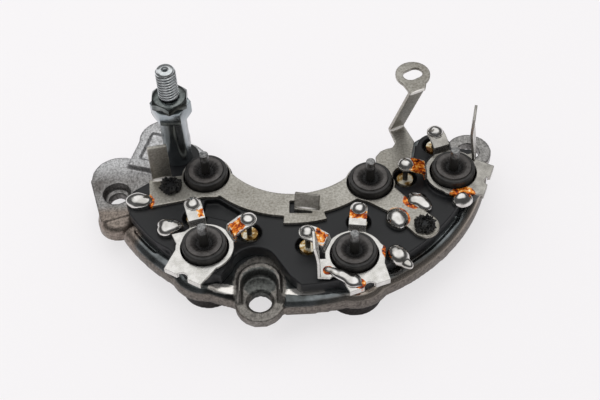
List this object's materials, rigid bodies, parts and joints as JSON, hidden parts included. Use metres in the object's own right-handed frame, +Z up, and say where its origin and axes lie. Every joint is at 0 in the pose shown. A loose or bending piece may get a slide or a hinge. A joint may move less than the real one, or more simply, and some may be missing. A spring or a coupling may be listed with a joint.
{
  "type": "alternator rectifier",
  "caption": "Crescent-shaped alternator rectifier: cast heat sink with press-fit diodes, moulded board, bus bar, phase plates, threaded output stud and mounting lugs.",
  "frame": {"origin": "axis of the front lug's bore at the lug's underside", "axes": "+Z up along the lug bores and the stud, +X along the crescent's length to the right, +Y from the front lug towards the alternator's shaft"},
  "size_m": [0.1238, 0.0766, 0.0531],
  "materials": {
    "cast_aluminium": "matt as-cast",
    "black_moulding": "satin thermoset moulding",
    "dull_tin_plate": "dull tin-plated sheet",
    "bright_tin_plate": "bright tin-plated sheet",
    "black_cup": "blackened metal cup",
    "grey_resin": "cast resin",
    "lead_wire": "tinned wire",
    "brass_cell": "flux-stained cell top",
    "solder": "bright solder",
    "bright_zinc": "bright zinc-plated steel"
  },
  "bodies": {
    "root": {"base_casting": "cast_aluminium", "insulator_board": "black_moulding", "bus_bar": "dull_tin_plate", "phase_plate_1": "bright_tin_plate", "phase_plate_2": "bright_tin_plate", "phase_plate_3": "bright_tin_plate", "press_diode_cup_1": "black_cup", "press_diode_seal_1": "grey_resin", "press_diode_lead_1": "lead_wire", "press_diode_cup_2": "black_cup", "press_diode_seal_2": "grey_resin", "press_diode_lead_2": "lead_wire", "press_diode_cup_3": "black_cup", "press_diode_seal_3": "grey_resin", "press_diode_lead_3": "lead_wire", "press_diode_cup_4": "black_cup", "press_diode_seal_4": "grey_resin", "press_diode_lead_4": "lead_wire", "press_diode_cup_5": "black_cup", "press_diode_seal_5": "grey_resin", "press_diode_lead_5": "lead_wire", "cell_diode_1": "brass_cell", "cell_lead_1": "lead_wire", "tab_solder_1": "solder", "cell_diode_2": "brass_cell", "cell_lead_2": "lead_wire", "tab_solder_2": "solder", "cell_diode_3": "brass_cell", "cell_lead_3": "lead_wire", "tab_solder_3": "solder", "cell_diode_4": "brass_cell", "cell_lead_4": "lead_wire", "tab_solder_4": "solder", "cell_diode_5": "brass_cell", "cell_lead_5": "lead_wire", "tab_solder_5": "solder", "cell_diode_6": "brass_cell", "cell_lead_6": "lead_wire", "tab_solder_6": "solder", "exciter_diode_1": "black_moulding", "bar_solder_1": "solder", "plate_solder_1": "solder", "exciter_diode_2": "black_moulding", "bar_solder_2": "solder", "plate_solder_2": "solder", "exciter_diode_3": "black_moulding", "bar_solder_3": "solder", "plate_solder_3": "solder", "blade_solder": "solder", "stud_sleeve": "bright_zinc", "stud_nut": "bright_zinc", "output_stud": "bright_zinc", "insulating_washer": "black_moulding"}
  },
  "joints": []
}
